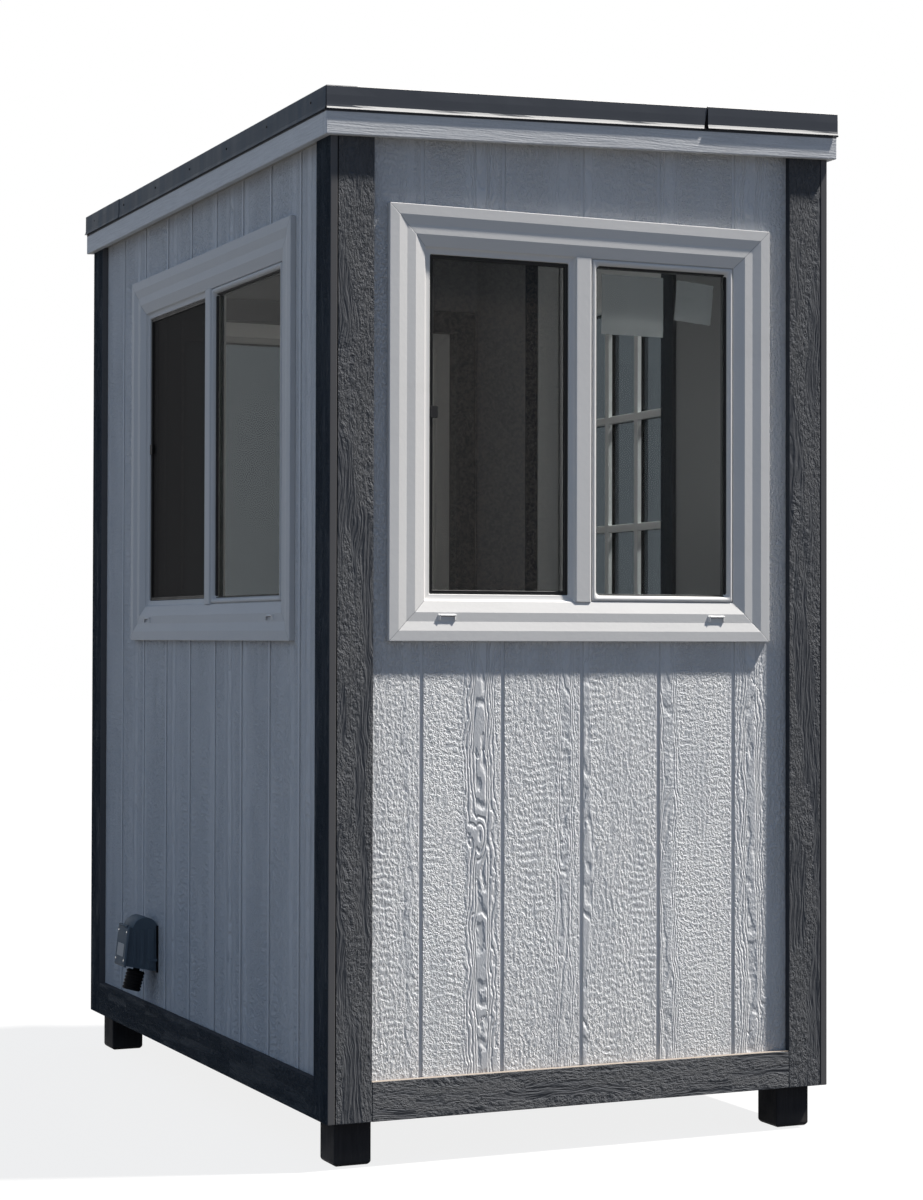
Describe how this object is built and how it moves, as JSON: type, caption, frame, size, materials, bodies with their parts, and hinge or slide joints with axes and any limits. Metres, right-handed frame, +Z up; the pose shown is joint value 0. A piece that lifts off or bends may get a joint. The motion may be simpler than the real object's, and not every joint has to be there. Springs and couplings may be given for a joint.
{
  "type": "security guard booth",
  "caption": "Small timber guard booth on feet, with grooved siding, dark trim boards, sliding windows, a half-glazed hinged door, a low shed roof and a power inlet.",
  "frame": {"origin": "on the ground under the middle of the booth", "axes": "+X to the right seen from the front, +Y to the back, +Z up; the front faces -Y"},
  "size_m": [1.4285, 1.957, 2.4615],
  "materials": {
    "siding": "light grey paint on grained plywood",
    "trim": "charcoal paint on rough-sawn boards",
    "lining": "painted panel",
    "casing": "dark paint",
    "floor": "plywood",
    "feet": "black-painted timber",
    "flashing": "satin dark grey",
    "membrane": "matte",
    "vinyl": "white vinyl",
    "glass": "clear",
    "screen": "fine mesh in a thin dark frame",
    "door_paint": "satin white",
    "threshold": "mill finish",
    "hardware": "satin nickel",
    "inlet_housing": "grey weatherproof plastic",
    "inlet_black": "matte black"
  },
  "bodies": {
    "booth": {"feet": "feet", "floor_frame": "floor", "floor_deck": "floor", "front_wall": "lining", "left_wall": "lining", "back_wall": "lining", "right_wall_front": "lining", "right_wall_back": "lining", "right_wall_header": "lining", "front_siding": "siding", "left_siding": "siding", "back_siding": "siding", "right_siding": "siding", "end_corner_trims": "trim", "side_corner_trims": "trim", "bottom_trims": "trim", "roof_deck": "lining", "end_fascias": "siding", "side_fascias": "siding", "end_flashings": "flashing", "side_flashings": "flashing", "roof_membrane": "membrane", "front_window_frame": "vinyl", "front_window_sash": "vinyl", "front_window_glass": "glass", "left_window_frame": "vinyl", "left_window_sash": "vinyl", "left_window_glass": "glass", "back_window_frame": "vinyl", "back_window_sash": "vinyl", "back_window_glass": "glass", "window_screens": "screen", "window_casings": "casing", "door_frame": "door_paint", "door_casings": "casing", "door_threshold": "threshold", "hinge_frame_leaves": "hardware", "inlet_box": "inlet_housing", "inlet_lid": "inlet_housing", "inlet_socket": "inlet_black"},
    "door": {"door_leaf": "door_paint", "door_lite_frame": "vinyl", "door_glass": "glass", "door_knobs": "hardware", "hinge_door_leaves": "hardware"}
  },
  "joints": [
    {"name": "door_hinge", "type": "hinge", "parent": "booth", "child": "door", "pos_m": [0.655, 0.409, 1.278], "axis": [0, 0, 1], "range_deg": [0, 110]}
  ]
}
